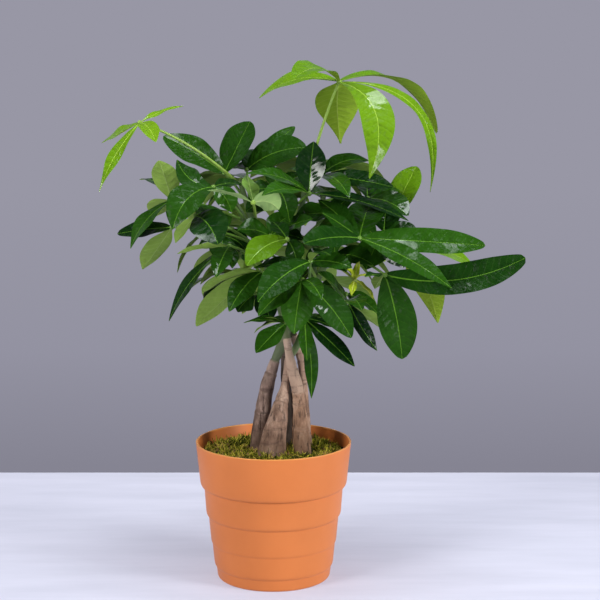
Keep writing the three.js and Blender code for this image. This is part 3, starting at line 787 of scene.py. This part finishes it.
frontLeaves = [
    ("mature", 1, 306, (75, -52, 317), (
        (182, -62, 312, 27, 0.005, 50, 0, 1.2),
        (151, -92, 280, 22, 0.05, 42, 0, 0),
        (27, -88, 317, 25, 0.05, 45, 0, 1.2),
        (40, -20, 347, 22, 0.04, 35, 0, 0),
        (43, -45, 338, 16, 0.03, 30, 0, 0),
        (88, 8, 341, 34, 0.08, 10, 0, 1),
    )),
    ("mature", 1, 300, (97, -58, 286), (
        (111, -80, 217, 34, 0.04, 70, -0.008, 1),
        (216, -66, 302, 29, -0.096, 62, 0, 1.5),
        (78, -96, 290, 10, 0.03, 30, 0, 0),
        (90, -20, 268, 14, 0.05, -20, 0, 0),
    )),
    ("young", 5, 362, (58, -8, 449), (
        (19, -60, 453, 30, 0.16, 25, 0, 1),
        (-12, 8, 434, 30, 0.13, 20, 0, 0),
        (61, 52, 391, 40, 0.1, 0, -0.03, -1.2),
        (83, -58, 369, 30, 0.22, 35, -0.11, 0),
        (138, -15, 353, 12, 0.295, 30, 0, -0.5),
        (147, 40, 401, 39, 0.225, 5, 0, 1.2),
    )),
    ("mature", 1, 262, (33, -68, 299), (
        (-11, -104, 270, 28, 0.08, 50, 0, 0.3),
        (-16, -66, 293, 16, 0.04, 25, 0, 0),
        (68, -78, 295, 22, 0.08, 35, 0, 0),
        (49, -110, 318, 20, 0.12, 30, 0, 0),
    )),
    ("mature", 3, 244, (26, -72, 284), (
        (-11, -96, 257, 22, 0.06, 40, 0, 0.2),
        (19, -92, 241, 28, 0.04, 70, 0, 0.3),
        (67, -100, 239, 26, 0.06, 52, 0, 0.8),
        (42, -116, 274, 16, 0.1, 40, 0, 0),
    )),
    ("mature", 4, 294, (32, -28, 353), (
        (36, 18, 397, 28, 0.05, 0, 0, 0.3),
        (-22, -44, 372, 20, 0.1, 25, 0, 0),
        (-8, -75, 356, 22, 0.08, 30, 0, 0),
        (117, -52, 332, 22, 0.06, 15, 0, 0),
        (75, 35, 343, 22, 0.06, 20, 0, 0),
    )),
    ("mature", 3, 326, (-51, -30, 359), (
        (-84, -66, 327, 31, 0.18, 40, 0, 0.5),
        (-83, -22, 382, 22, -0.17, 35, 0, 0),
        (-26, -10, 359, 18, 0.08, 25, 0, 0),
        (-35, -40, 338, 22, 0.12, 35, 0, 0),
    )),
    ("young", 4, 306, (-16, -55, 348), (
        (-22, -30, 369, 17, 0.02, -35, 0, 0.3),
        (6, -62, 342, 24, 0.18, -58, 0, 0.8),
        (-55, -60, 359, 14, 0.05, -15, 0, 0),
    )),
    ("fresh", 1, 275, (13, -52, 316), (
        (-21, -80, 297, 25, 0.12, 45, 0, 0.6),
        (21, -50, 296, 20, 0.08, 40, 0, 0),
        (0, -30, 329, 16, 0.05, 30, 0, 0),
    )),
    ("mature", 3, 300, (-66, -40, 335), (
        (-85, -22, 309, 15, 0.06, -10, 0, 0),
        (-45, -78, 315, 34, 0.12, 60, 0, 0.8),
        (-40, 0, 332, 26, 0.1, 20, 0, 0),
    )),
    ("mature", 4, 300, (-89, -15, 322), (
        (-137, -12, 316, 20, 0.02, 38, 0, 1.2),
        (-118, 18, 280, 27, 0, -10, 0, 0),
        (-81, 50, 329, 22, 0.1, 0, 0, 0),
    )),
    ("mature", 3, 268, (-9, -38, 286), (
        (-61, -50, 269, 22, 0.09, -30, 0, 0.3),
        (-67, -28, 236, 38, 0.04, -28, 0, 0.5),
        (-36, -80, 258, 22, 0.08, 45, 0, 0.3),
        (-24, -85, 301, 20, 0.1, 25, 0, 0),
    )),
    ("mature", 3, 282, (-37, -42, 309), (
        (-82, -48, 303, 21, 0.045, -22, 0, 0),
        (-47, -78, 287, 18, 0.08, 40, 0, 0.3),
        (-91, -30, 241, 17, 0.08, 25, 0, 0),
        (-34, -60, 292, 14, 0.08, -20, 0, 0),
    )),
    ("mature", 1, 270, (65, -52, 262), (
        (39, -78, 291, 21, 0.05, 35, 0, 0.3),
        (96, -22, 233, 18, 0.02, -15, 0, 0.3),
        (76, -98, 262, 20, 0.12, 40, 0, 0),
        (91, -48, 218, 17, -0.02, 35, 0, 0),
    )),
    ("mature", 3, 238, (28, -42, 245), (
        (71, -62, 207, 18, 0.02, 40, 0, 0.3),
        (30, -66, 213, 13, 0.04, 40, 0, 0.2),
        (34, -36, 173, 13, 0.02, 35, -0.02, 0),
        (42, -70, 251, 12, 0.08, 20, 0, 0),
        (52, -50, 239, 13, 0.08, 20, 0, 0),
    )),
    ("mature", 3, 234, (12, -34, 240), (
        (-14, -58, 218, 21, 0.03, 35, 0, 0.5),
        (-17, -12, 227, 11, 0.12, 15, 0, 0),
        (-26, -22, 238, 12, 0.08, 15, 0, 0),
        (-10, 14, 239, 20, 0.1, -10, 0, 0),
    )),
    ("bud", 1, 290, (71, -56, 281), (
        (64, -66, 292, 7, 0.1, 40, 0, 0),
        (75, -60, 298, 7, 0.05, 40, 0, 0),
        (68, -70, 270, 7, 0.1, 30, 0, 0),
        (88, -48, 263, 12, 0.08, 20, 0, 0),
        (80, -76, 288, 7, 0.1, 30, 0, 0),
    )),
    ("young", 4, 355, (-115, -20, 414), (
        (-151, 0, 395, 20, 0.01, 25, 0, 0),
        (-149, -40, 356, 12, 0.06, 40, 0, -1.2),
        (-98, -60, 400, 17, 0.1, 30, 0, 0.5),
        (-79, 10, 427, 8, 0.05, 20, 0, -1.2),
    )),
    ("mature", 4, 340, (-44, 26, 366), (
        (-100, 46, 398, 31, 0.034, 40, 0, 1),
        (-21, 36, 412, 41, 0.02, 12, 0.025, 1.1),
        (-65, 70, 356, 24, 0.08, 10, 0, 0),
    )),
    ("mature", 4, 328, (-24, 30, 369), (
        (30, 24, 389, 34, 0.1, 45, 0, 1),
        (19, 62, 406, 24, 0, 15, 0, 1),
        (-11, 60, 385, 26, 0.08, 10, 0, 0),
        (-41, 52, 370, 22, 0.05, 20, 0, 0),
    )),
    ("mature", 4, 318, (-89, -5, 345), (
        (-98, -30, 382, 25, 0.02, -35, 0, 0.5),
        (-121, 30, 360, 14, 0.14, 5, 0, 0),
        (-124, -10, 305, 20, 0.11, 10, 0, -0.3),
        (-76, 40, 309, 26, 0.1, 0, 0, 0),
        (-111, 22, 308, 24, 0.06, -35, 0, 0),
    )),
    ("mature", 5, 345, (43, -4, 367), (
        (86, 18, 378, 24, 0.125, 25, 0, 0),
        (106, -22, 358, 24, 0.02, 35, 0, 0.3),
        (66, -60, 353, 20, 0.1, 30, 0, 0),
        (13, -10, 370, 20, 0.1, 20, 0, 0),
    )),
    ("young", 2, 318, (108, 10, 308), (
        (150, 30, 229, 38, 0.08, -15, 0, -0.2),
        (182, 45, 281, 26, 0.055, 35, 0, 0.6),
        (102, 60, 281, 22, 0.1, 0, 0, 0),
    )),
    ("young", 2, 330, (106, 14, 327), (
        (129, 30, 372, 30, 0.06, 20, 0.04, 1),
        (95, 72, 332, 22, 0.1, 10, 0, 0),
    )),
    ("mature", 2, 340, (84, 0, 346), (
        (118, -12, 334, 28, 0.1, 40, 0, 0.5),
        (84, 40, 361, 22, 0.06, 10, 0, 0),
        (113, 35, 352, 24, 0.06, 20, 0, 0.3),
    )),
    ("mature", 4, 285, (-2, -22, 315), (
        (-31, -10, 321, 26, 0.1, 35, 0, 0),
        (17, -10, 333, 26, 0.1, 30, 0, 0),
        (-12, -40, 290, 22, 0.12, 40, 0, 0),
        (27, -30, 313, 20, 0.1, 35, 0, 0),
        (35, -56, 332, 22, 0.05, 35, 0, 0.5),
    )),
    ("mature", 5, 300, (54, -12, 334), (
        (91, -20, 313, 27, 0.1, 35, 0, 0),
        (54, -36, 303, 27, 0.12, 45, 0, 0),
        (20, -8, 340, 28, 0.04, 30, 0, 0.3),
        (69, 20, 355, 22, 0.08, 15, 0, 0),
    )),
    ("mature", 5, 280, (52, -30, 299), (
        (87, -34, 294, 26, 0.1, 35, 0, 0),
        (29, -34, 282, 24, 0.1, 35, 0, 0),
        (64, -44, 271, 24, 0.12, 45, 0, 0),
        (63, -5, 317, 20, 0.08, 20, 0, 0),
    )),
    ("mature", 2, 296, (98, -14, 318), (
        (129, -18, 315, 24, 0.08, 35, 0, 0),
        (115, -20, 287, 31, 0.04, 40, 0, 0.3),
        (101, 10, 338, 28, 0.04, 20, 0, 0.5),
        (82, -24, 286, 28, 0.04, 45, 0, 0.3),
    )),
    ("mature", 4, 262, (-46, 14, 311), (
        (-67, 14, 302, 22, 0.1, 10, 0, 0),
        (-24, -8, 296, 27, 0.12, 35, 0, 0),
        (-45, 0, 289, 24, 0.12, 30, 0, 0),
        (-54, 34, 334, 24, 0.08, 15, 0, 0),
        (-27, 10, 341, 28, 0.02, 20, 0, 0.6),
    )),
    ("mature", 5, 318, (6, 2, 352), (
        (-20, -10, 353, 22, 0.1, 30, 0, 0),
        (28, 20, 366, 24, 0.08, 20, 0, 0),
        (15, -16, 329, 22, 0.12, 40, 0, 0),
        (-8, 24, 375, 24, 0.08, 15, 0, 0),
        (-24, 0, 334, 26, 0.04, 35, 0, 0.5),
    )),
    ("mature", 2, 262, (65, 2, 260), (
        (94, 6, 241, 22, 0.1, 25, 0, 0),
        (51, -12, 233, 22, 0.12, 40, 0, 0),
        (42, -6, 269, 20, 0.1, 30, 0, 0),
        (75, 10, 228, 20, 0.12, 30, 0, 0),
    )),
    ("mature", 4, 250, (-16, 10, 259), (
        (-32, 6, 243, 26, 0.08, 35, 0, 0),
        (-3, 0, 235, 22, 0.12, 40, 0, 0),
        (-37, 2, 271, 20, 0.1, 30, 0, 0),
    )),
]


# The back of the crown follows a seeded rule. "bearings" and "heights" are a start and a span, and
# "reach" and "arch" a least value and a random spread. "fall", "length" and "width" are the middle
# leaflet's value, the change for each leaflet away from it and, in the first two, a random spread.
backLeaves = {
    "count": 9,
    "seed": 120,
    "bearings": (18, 148),
    "turnStart": 0.36,
    "turnStep": 0.618,
    "heights": (262, 108),
    "centre": (8, 14),
    "oval": 1.25,
    "reach": (30, 30),
    "fan": 50,
    "fanSpread": 14,
    "fall": (-8, 9, 14),
    "length": (84, 11, 14),
    "width": (33, 2),
    "arch": (0.1, 0.08),
    "tilt": 25,
    "shoots": (2, 4, 5),
    "stalkDrop": 12,
    "highest": 345,
    "crownLeft": -105,
}


def repeatable(seed):
    while True:
        seed = (seed * 1664525 + 1013904223) % 4294967296
        yield seed / 4294967296


def backBlade(hub, bearing, place, numbers):
    sway = backLeaves["fanSpread"] * (next(numbers) - 0.5)
    turn = bearing + math.radians(place * backLeaves["fan"] + sway)
    start, each, spread = backLeaves["fall"]
    fall = math.radians(start - each * abs(place) - spread * next(numbers))
    longest, each, spread = backLeaves["length"]
    length = longest - each * abs(place) + spread * next(numbers)
    level = math.cos(fall)
    tip = hub + Vector((math.cos(turn) * level, math.sin(turn) * level, math.sin(fall))) * length
    widest, each = backLeaves["width"]
    arch, spread = backLeaves["arch"]
    return (*tip, widest - each * abs(place), arch + spread * next(numbers), backLeaves["tilt"], 0, 0)


def backLeaf(i, numbers):
    first, span = backLeaves["bearings"]
    low, rise = backLeaves["heights"]
    bearing = math.radians(first + span * ((backLeaves["turnStart"] + i * backLeaves["turnStep"]) % 1))
    height = low + rise * i / (backLeaves["count"] - 1)
    least, spread = backLeaves["reach"]
    reach = least + spread * next(numbers)
    facing = Vector((math.cos(bearing), math.sin(bearing), 0))
    x, y = backLeaves["centre"]
    hub = Vector((x + reach * backLeaves["oval"] * facing.x, y + reach * facing.y, height))
    blades = [backBlade(hub, bearing, place, numbers) for place in range(-2, 3)]
    shoots = backLeaves["shoots"]
    return {"tone": "mature", "shoot": shoots[i % len(shoots)],
            "from": min(height - backLeaves["stalkDrop"], backLeaves["highest"]), "hub": hub,
            "blades": [blade for blade in blades if blade[0] > backLeaves["crownLeft"]], "facing": facing}


def listLeaves():
    leaves = []
    for tone, shoot, height, hub, blades in frontLeaves:
        leaves.append({"tone": tone, "shoot": shoot, "from": height, "hub": Vector(hub),
                       "blades": blades, "facing": towardsViewer})
    numbers = repeatable(backLeaves["seed"])
    return leaves + [backLeaf(i, numbers) for i in range(backLeaves["count"])]


# A leaflet or stalk is bent a little where it would touch its neighbours.
# The frame's own corners tell which bend was used.

moveRises = (0, 8, -8, 16, -16, 26, -26)
moveDepths = (0, 9, -9, 18, -18, 28, -28)
tipMoves = [(depth, rise) for rise in moveRises for depth in moveDepths]
sameCorner = 0.05
stalk = {
    "radius": 1.25,
    "sides": 10,
    "steps": 18,
    "hub": 2.3,
    "lift": 0.12,
    "reaches": (0, 9, 18, 30, 42),
    "slides": (0, -8, 8, -16),
    "ways": 6,
}


def cornersOf(node):
    corners = node.data.vertices
    tree = KDTree(len(corners))
    for vert in corners:
        tree.insert(vert.co / mm, vert.index)
    tree.balance()
    return tree


def usedTip(leaf, blade, tree):
    for depth, rise in tipMoves:
        tip = Vector(blade[:3]) + leaf["facing"] * depth + skyUp * rise
        if tree.find(tip)[2] < sameCorner:
            return tip
    return None


def usedStalk(leaf, tree):
    best = None
    shoot = shootRoutes[leaf["shoot"] - 1]
    roots = [heightOn(shoot, leaf["from"] + slide) for slide in stalk["slides"]]
    for reach in stalk["reaches"]:
        for root in roots:
            for k in range(stalk["ways"] if reach else 1):
                angle = math.radians(360 / stalk["ways"] * k)
                rise = reach / 2 if k % 2 else -reach / 4
                middle = (root + leaf["hub"]) / 2
                middle += Vector((reach * math.cos(angle), reach * math.sin(angle), rise))
                middle.z += stalk["lift"] * (leaf["hub"] - root).length
                route = (root, middle, leaf["hub"])
                miss = tree.find(stalkCorner(route))[2]
                if best is None or miss < best[0] - 0.01:
                    best = (miss, route)
    return best[1]


def stalkRadius(t):
    return stalk["radius"] * (1.15 - 0.3 * t)


def stalkCorner(route):
    t = 2 / 3
    chord = route[2] - route[0]
    level = Vector((0, 1, 0)) if abs(chord.z) > 0.5 * chord.length else skyUp
    tangent = bendTangent(*route, t)
    across = tangent.cross(level).normalized()
    return bend(*route, t) + across.cross(tangent) * stalkRadius(t)


leaflet = {
    "across": 12,
    "rowsPerMm": 0.6,
    "fewestRows": 24,
    "veinGap": 6.5,
    "veinRise": 0.55,
    "veinCurl": 0.012,
    "veinShift": 0.37,
    "veinTurns": 3,
    "quilt": 0.45,
    "fold": 0.16,
    "wave": 0.9,
    "waves": 11,
    "waveLean": 1.5,
    "ripple": 0.55,
    "rippleSize": (0.07, 1.2),
    "thickness": 0.5,
    "ribRidge": 0.45,
    "ribDip": 0.25,
    "ribHalfWidth": 0.7,
}
# Numbers of a leaf's materials: each underside comes right after its top
leafParts = {"top": 0, "stalk": 2, "olderTop": 3}


def widthShare(t, blunt):
    swell = max(math.sin(math.pi * t ** (1.12 + 0.14 * blunt)), 0)
    return 0.04 + 0.96 * swell ** (0.9 - 0.35 * blunt) * (1 - 0.3 * t ** 5)


def quiltDepth(side, along, tint):
    lift = abs(side) * leaflet["veinRise"] + side * side * leaflet["veinCurl"]
    shift = leaflet["veinShift"] if side > 0 else 0
    phase = (along - lift) / leaflet["veinGap"] + shift + tint * leaflet["veinTurns"]
    return (0.5 + 0.5 * math.cos(2 * math.pi * phase)) ** 2 * min(abs(side) / 3, 1)


def addLeaflet(mesh, leaf, tip, blade, tint, first):
    layers = layersOf(mesh)
    width, arch, tilt, bow, blunt = blade[3:]
    hub = leaf["hub"]
    chord = tip - hub
    along = chord.normalized()
    lift = (skyUp - along * along.z).normalized()
    skyward = skyUp * math.cos(math.radians(tilt)) + leaf["facing"] * math.sin(math.radians(tilt))
    across = along.cross(skyward).normalized()
    middle = (hub + tip) / 2 + lift * 2 * arch * chord.length + across * 2 * bow * chord.length
    verts = []
    for face in (1, -1):
        rows = max(leaflet["fewestRows"], round(chord.length * leaflet["rowsPerMm"]))
        made = bmesh.ops.create_grid(mesh, x_segments=leaflet["across"], y_segments=rows, size=0.5)
        for part in {part for vert in made["verts"] for part in vert.link_faces}:
            part.material_index = first if face > 0 else first + 1
        verts += made["verts"]
        for vert in made["verts"]:
            place = math.copysign(abs(2 * vert.co.x) ** 1.5, vert.co.x)
            t = min(max(vert.co.y + 0.5, 0), 1)
            tangent = bendTangent(hub, middle, tip, t)
            sideways = tangent.cross(skyward).normalized()
            normal = sideways.cross(tangent)
            half = width / 2 * widthShare(t, blunt)
            belly = math.sin(math.pi * t)
            # The fold is a V with a rounded foot
            rise = leaflet["fold"] * half * (math.sqrt(place * place + 0.01) - 0.1) / 0.905
            wave = math.sin(leaflet["waves"] * t + leaflet["waveLean"] * place)
            rise += leaflet["wave"] * wave * belly * abs(place)
            lengthwise, crosswise = leaflet["rippleSize"]
            spot = Vector((t * chord.length * lengthwise, place * crosswise, tint * 50))
            rise += leaflet["ripple"] * noise.noise(spot) * belly * (0.3 + abs(place))
            quilt = leaflet["quilt"] * belly ** 0.5 * (1 - place ** 4) if 0 < t < 1 else 0
            rise -= quilt * quiltDepth(place * half, t * chord.length, tint)
            rim = abs(place) > 0.999 or t < 0.001 or t > 0.999
            if not rim:
                ridge = bell(place * half, leaflet["ribHalfWidth"]) * belly ** 0.5
                thick = leaflet["thickness"] / 2 * (1 - place ** 4)
                if face > 0:
                    rise += thick - leaflet["ribDip"] * ridge
                else:
                    rise -= thick + leaflet["ribRidge"] * ridge
            vert[layers["side"]] = place * half
            vert[layers["along"]] = t * chord.length
            vert[layers["share"]] = t
            vert[layers["tint"]] = tint
            vert.co = (bend(hub, middle, tip, t) + sideways * half * place + normal * rise) * mm
    bmesh.ops.remove_doubles(mesh, verts=verts, dist=1e-6)


leafTones = {
    "mature": {
        "top": ((0.001, 0.012, 0.003), (0.025, 0.098, 0.004)),
        "under": ((0.14, 0.24, 0.036), (0.32, 0.48, 0.09)),
        "rib": (0.10, 0.24, 0.02),
        "underRib": (0.30, 0.42, 0.12),
        "stalk": (0.13, 0.26, 0.03),
        "gloss": 0.22,
    },
    "fresh": {
        "top": ((0.045, 0.125, 0.004), (0.12, 0.235, 0.006)),
        "under": ((0.12, 0.22, 0.03), (0.17, 0.28, 0.05)),
        "rib": (0.24, 0.43, 0.05),
        "underRib": (0.28, 0.42, 0.10),
        "stalk": (0.22, 0.38, 0.05),
        "gloss": 0.18,
    },
    # Young leaves are light green of their own, painted brighter still as light shining through them
    "young": {
        "top": ((0.085, 0.20, 0.004), (0.165, 0.31, 0.008)),
        "under": ((0.23, 0.38, 0.026), (0.34, 0.50, 0.042)),
        "rib": (0.30, 0.48, 0.05),
        "underRib": (0.40, 0.54, 0.09),
        "stalk": (0.26, 0.42, 0.05),
        "gloss": 0.28,
    },
    "pale": {
        "top": ((0.10, 0.20, 0.03), (0.16, 0.28, 0.06)),
        "under": ((0.24, 0.38, 0.12), (0.34, 0.50, 0.18)),
        "rib": (0.34, 0.48, 0.14),
        "underRib": (0.42, 0.56, 0.2),
        "stalk": (0.26, 0.42, 0.05),
        "gloss": 0.3,
    },
    "bud": {
        "top": ((0.26, 0.36, 0.012), (0.38, 0.44, 0.03)),
        "under": ((0.28, 0.36, 0.03), (0.40, 0.44, 0.05)),
        "rib": (0.46, 0.5, 0.10),
        "underRib": (0.46, 0.5, 0.10),
        "stalk": (0.30, 0.38, 0.06),
        "gloss": 0.4,
    },
}
paleLeaves = [8]
dullLeaves = [1, 19]


def bladeFinish(name, shades, ribColour, gloss, under):
    finish = Finish(name, {"Specular IOR Level": 0.04, "Coat Roughness": 0.09})
    place = finish.objectPlace()
    side = finish.attribute("side")
    along = finish.attribute("along")
    share = finish.attribute("share")
    tint = finish.attribute("tint")
    off = abs(side)
    cloud = finish.noiseAt(place, 60.0, 4, 0.6)
    lift = off * leaflet["veinRise"] + side * side * leaflet["veinCurl"]
    shift = finish.limits(side, -0.01, 0.01) * leaflet["veinShift"]
    phase = (along - lift) / leaflet["veinGap"] + shift + tint * leaflet["veinTurns"]
    nearVein = abs(phase.maths("FRACT", phase, 0) - 0.5) * 2
    vein = finish.limits(nearVein, 0.80, 0.97) * finish.limits(share, 0.0, 0.06)
    ribWidth = 0.62 - share * 0.42
    rib = finish.limits(off / ribWidth, 1.25, 0.75)
    shade = tint.maths("FRACT", tint * 3.7, 0)
    base = finish.blendColour(cloud * 0.4 + shade * 0.7 - 0.1, shades[0], shades[1])
    base = finish.blendColour(vein * (0.3 if under else 0.05), base, ribColour)
    base = finish.blendColour(rib * 0.85, base, ribColour)
    finish.feed("Base Color", base)
    finish.feed("Roughness", gloss + cloud * 0.2)
    if not under:
        finish.feed("Coat Weight", finish.limits(cloud + tint * 0.3, 0.55, 0.85) * 0.65)
    swell = finish.noiseAt(place, 85.0, 2, 0.5)
    relief = (nearVein ** 3) * (0.15 if under else -0.15) + swell * 2.8 + rib * (0.2 if under else -0.2)
    finish.bump(relief, 0.0018, 0.3 if under else 0.85)
    return finish


def stalkFinish(name, colour):
    finish = Finish(name, {"Specular IOR Level": 0.45})
    place = finish.objectPlace()
    cloud = finish.noiseAt(place, 80.0, 3, 0.6)
    finish.feed("Base Color", finish.blendColour(cloud, [part * 0.75 for part in colour], colour))
    finish.feed("Roughness", 0.35 + cloud * 0.2)
    return finish


def makeLeaf(number, leaf, finishes):
    node = f"leaf_{number:02d}"
    tree = cornersOf(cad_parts[node])
    draw = random.Random(number)
    mesh = bmesh.new()
    route = usedStalk(leaf, tree)
    addTube(mesh, lambda t: bend(*route, t), lambda t, turn: stalkRadius(t),
            stalk["sides"], stalk["steps"], draw.random(), leafParts["stalk"])
    knob = bmesh.ops.create_icosphere(mesh, subdivisions=2, radius=stalk["hub"] * mm)
    bmesh.ops.translate(mesh, vec=leaf["hub"] * mm, verts=knob["verts"])
    for face in {face for vert in knob["verts"] for face in vert.link_faces}:
        face.material_index = leafParts["stalk"]
    dropped = 0
    for blade in leaf["blades"]:
        tip = usedTip(leaf, blade, tree)
        if tip is None:
            dropped += 1
            continue
        older = leaf["tone"] == "fresh" and blade is not leaf["blades"][0]
        tint = draw.random() * (0.25 if number in dullLeaves else 1)
        addLeaflet(mesh, leaf, tip, blade, tint, leafParts["olderTop" if older else "top"])
    for edge in mesh.edges:
        if len({face.material_index for face in edge.link_faces}) > 1:
            edge.smooth = False
    makePiece(f"fineLeaf_{number:02d}", mesh, finishes, "leaf_" + leaf["tone"], [node])
    return dropped


def makeLeaves():
    finishes = {}
    for tone, look in leafTones.items():
        finishes[tone] = [bladeFinish(tone + "Top", look["top"], look["rib"], look["gloss"], False),
                          bladeFinish(tone + "Underside", look["under"], look["underRib"], 0.5, True),
                          stalkFinish(tone + "Stalk", look["stalk"])]
    for number, leaf in enumerate(listLeaves(), 1):
        look = "pale" if number in paleLeaves else leaf["tone"]
        older = finishes["mature"] if look == "fresh" else []
        dropped = makeLeaf(number, leaf, finishes[look] + older)
        if dropped:
            print("leaf", number, "leaflets left out:", dropped)


makeLeaves()
print("leaves made")
